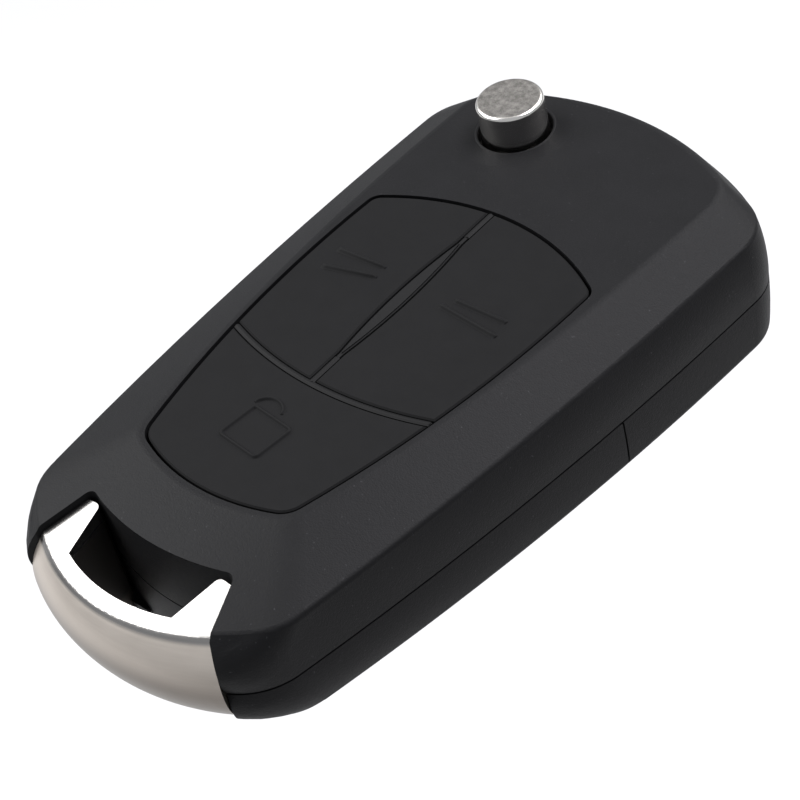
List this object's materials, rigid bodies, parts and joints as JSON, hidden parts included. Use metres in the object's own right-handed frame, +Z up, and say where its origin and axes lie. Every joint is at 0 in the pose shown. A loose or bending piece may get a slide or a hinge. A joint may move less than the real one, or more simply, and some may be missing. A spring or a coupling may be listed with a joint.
{
  "type": "car remote key",
  "caption": "Folding car remote key with a rounded tapering case, push keys in a flush pad, a round blade release button and a broad metal keyring loop.",
  "frame": {"origin": "middle of the underside, on the plane that the key rests on", "axes": "+Z up through the push keys, +Y along the key towards the pivot end, +X across it away from the blade's side"},
  "size_m": [0.0412, 0.0753, 0.0181],
  "materials": {
    "shell": "fine satin grain",
    "key": "matte",
    "mat": "matte",
    "loop": "satin",
    "board": "solder mask",
    "tray": "moulded",
    "switch": "moulded",
    "stem": "moulded",
    "cell": "nickel",
    "contact": "nickel",
    "chip": "moulded",
    "ferrite": "sintered",
    "copper": "enamelled wire",
    "can": "drawn",
    "holder": "satin black",
    "blade": "milled",
    "pin": "rolled",
    "button": "turned, fine grain on top",
    "spring": "drawn wire"
  },
  "bodies": {
    "case": {"upper_shell": "shell", "lower_shell": "shell", "keyring_loop": "loop", "key_mat": "mat", "inner_tray": "tray", "circuit_board": "board", "coin_cell": "cell", "negative_contact": "contact", "positive_contact": "contact", "controller_chip": "chip", "radio_chip": "chip", "coil_core": "ferrite", "coil_winding": "copper", "crystal": "can", "lower_switch_body": "switch", "left_switch_body": "switch", "right_switch_body": "switch", "flip_spring": "spring"},
    "cover": {"battery_cover": "shell"},
    "flip_key": {"blade_holder": "holder", "key_blade": "blade", "roll_pin": "pin"},
    "release": {"release_button": "button"},
    "lower_push_key": {"lower_key": "key", "lower_switch_stem": "stem"},
    "left_push_key": {"left_key": "key", "left_switch_stem": "stem"},
    "right_push_key": {"right_key": "key", "right_switch_stem": "stem"}
  },
  "joints": [
    {"name": "flip_hinge", "type": "hinge", "parent": "case", "child": "flip_key", "pos_m": [-0.0087, 0.02895, 0], "axis": [0, 0, -1], "range_deg": [0, 183.2]},
    {"name": "release_press", "type": "slide", "parent": "flip_key", "child": "release", "axis": [0, 0, -1], "range_m": [0, 0.0022], "stiffness_N_per_m": 1500, "springref_m": -0.001, "deforming": ["flip_spring"]},
    {"name": "lower_key_press", "type": "slide", "parent": "case", "child": "lower_push_key", "axis": [0, 0, -1], "range_m": [0, 0.0003], "stiffness_N_per_m": 3000, "springref_m": -0.0003},
    {"name": "left_key_press", "type": "slide", "parent": "case", "child": "left_push_key", "axis": [0, 0, -1], "range_m": [0, 0.0003], "stiffness_N_per_m": 3000, "springref_m": -0.0003},
    {"name": "right_key_press", "type": "slide", "parent": "case", "child": "right_push_key", "axis": [0, 0, -1], "range_m": [0, 0.0003], "stiffness_N_per_m": 3000, "springref_m": -0.0003},
    {"name": "cover_lift", "type": "slide", "parent": "case", "child": "cover", "axis": [0, 0, -1], "range_m": [0, 0.012]}
  ]
}
